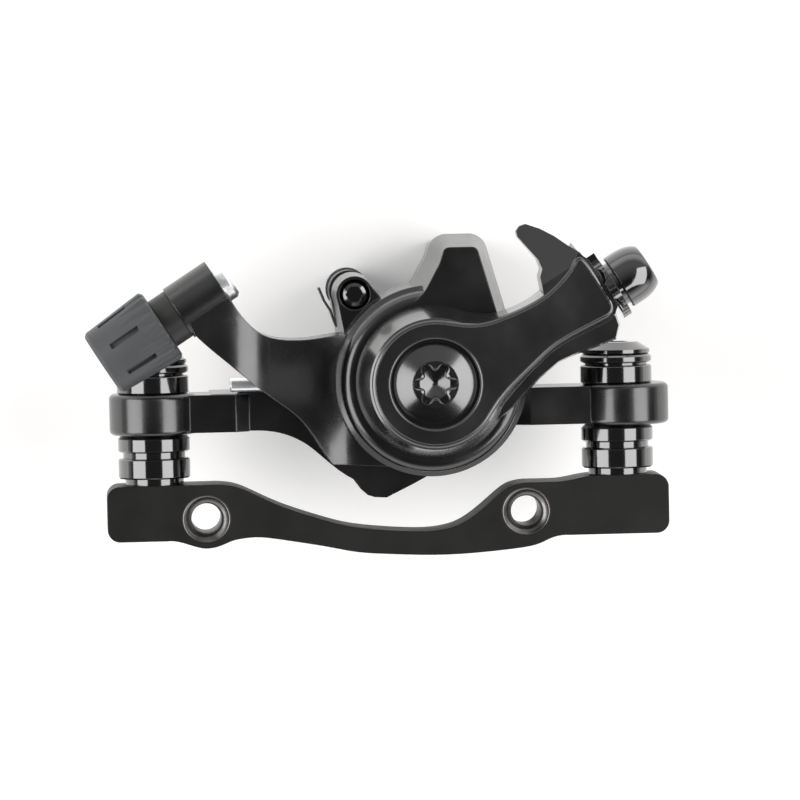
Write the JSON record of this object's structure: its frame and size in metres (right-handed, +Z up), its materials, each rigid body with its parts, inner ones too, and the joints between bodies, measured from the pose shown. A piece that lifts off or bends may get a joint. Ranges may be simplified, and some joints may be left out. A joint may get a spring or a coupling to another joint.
{
  "type": "bicycle disc brake caliper",
  "caption": "Cable-pulled disc brake caliper with a ball-ramp arm, a fixed inboard pad, a barrel adjuster and a two-post frame adapter.",
  "frame": {"origin": "midway between the two frame-bolt holes, on the adapter's face that meets the frame's tabs", "axes": "+X along the two frame bolts towards the end of the arm, +Y away from the arm's side across the rotor slot, +Z up from the frame bolts to the bridge"},
  "size_m": [0.0932, 0.0526, 0.0526],
  "materials": {
    "satin_black": "satin black coat on cast aluminium",
    "arm_black": "satin black coat on forged aluminium",
    "adapter_black": "matte black coat on aluminium",
    "gloss_black_steel": "gloss black plated steel",
    "zinc_steel": "bright zinc plate",
    "bearing_steel": "ground steel",
    "spring_steel": "spring steel strip and wire",
    "knob_plastic": "matte dark grey plastic",
    "seal_rubber": "black rubber",
    "lining": "pressed friction material",
    "plate_steel": "black coated steel plate"
  },
  "bodies": {
    "caliper": {"mount_adapter": "adapter_black", "post_bolts": "gloss_black_steel", "upper_ball_washers": "gloss_black_steel", "upper_cup_washers": "gloss_black_steel", "lower_ball_washers": "gloss_black_steel", "lower_cup_washers": "gloss_black_steel", "caliper_body": "satin_black", "bearing_cap": "bearing_steel", "cap_lock_screw": "zinc_steel", "thrust_washers": "bearing_steel", "hub_dust_seal": "seal_rubber", "return_spring": "spring_steel", "pad_axle_bolt": "gloss_black_steel", "axle_clip": "spring_steel", "pad_spring": "spring_steel"},
    "arm": {"actuator_arm": "arm_black", "arm_bolt": "gloss_black_steel", "drive_spindle": "bearing_steel", "spindle_seal": "seal_rubber", "cable_clamp_washer": "gloss_black_steel", "pinch_bolt": "gloss_black_steel"},
    "needle_set": {"thrust_needles": "bearing_steel", "needle_cage": "bearing_steel"},
    "piston": {"pressure_foot": "bearing_steel", "foot_seal": "seal_rubber", "ramp_balls": "bearing_steel", "outboard_pad_plate": "plate_steel", "outboard_pad_lining": "lining"},
    "inboard_pad": {"inboard_pad_plate": "plate_steel", "inboard_pad_lining": "lining"},
    "pad_adjuster": {"inboard_adjuster": "zinc_steel", "adjuster_seal": "seal_rubber"},
    "collar": {"detent_collar": "gloss_black_steel", "detent_spring": "spring_steel"},
    "barrel": {"adjuster_knob": "knob_plastic", "threaded_barrel": "zinc_steel"}
  },
  "joints": [
    {"name": "arm_pivot", "type": "hinge", "parent": "caliper", "child": "arm", "pos_m": [0.0106, -0.0105, 0.0213], "axis": [0, -1, 0], "range_deg": [0, 40], "stiffness_Nm_per_rad": 0.08, "springref_deg": -51.57, "deforming": ["return_spring"]},
    {"name": "needle_roll", "type": "hinge", "parent": "caliper", "child": "needle_set", "pos_m": [0.0106, 0.001, 0.0213], "axis": [0, -1, 0], "range_deg": [0, 20.01]},
    {"name": "piston_slide", "type": "slide", "parent": "caliper", "child": "piston", "axis": [0, 1, 0], "range_m": [0, 0.0017], "deforming": ["pad_spring"]},
    {"name": "inboard_pad_slide", "type": "slide", "parent": "caliper", "child": "inboard_pad", "axis": [0, -1, 0], "range_m": [0, 0.002]},
    {"name": "pad_adjuster_turn", "type": "hinge", "parent": "inboard_pad", "child": "pad_adjuster", "pos_m": [0.0106, 0.031, 0.0213], "axis": [0, -1, 0], "range_deg": [0, 720]},
    {"name": "barrel_turn", "type": "hinge", "parent": "caliper", "child": "collar", "pos_m": [-0.02605, -0.0105, 0.0353], "axis": [-0.8434, 0, -0.5373], "range_deg": [0, 1440]},
    {"name": "barrel_slide", "type": "slide", "parent": "collar", "child": "barrel", "axis": [-0.8434, 0, -0.5373], "range_m": [0, 0.004], "deforming": ["detent_spring"]}
  ],
  "couplings": [
    {"joint": "arm_pivot", "follows": "piston_slide", "rad_per_m": 410.6},
    {"joint": "needle_roll", "follows": "piston_slide", "rad_per_m": 205.3},
    {"joint": "pad_adjuster_turn", "follows": "inboard_pad_slide", "rad_per_m": 6283},
    {"joint": "barrel_turn", "follows": "barrel_slide", "rad_per_m": 6283}
  ]
}
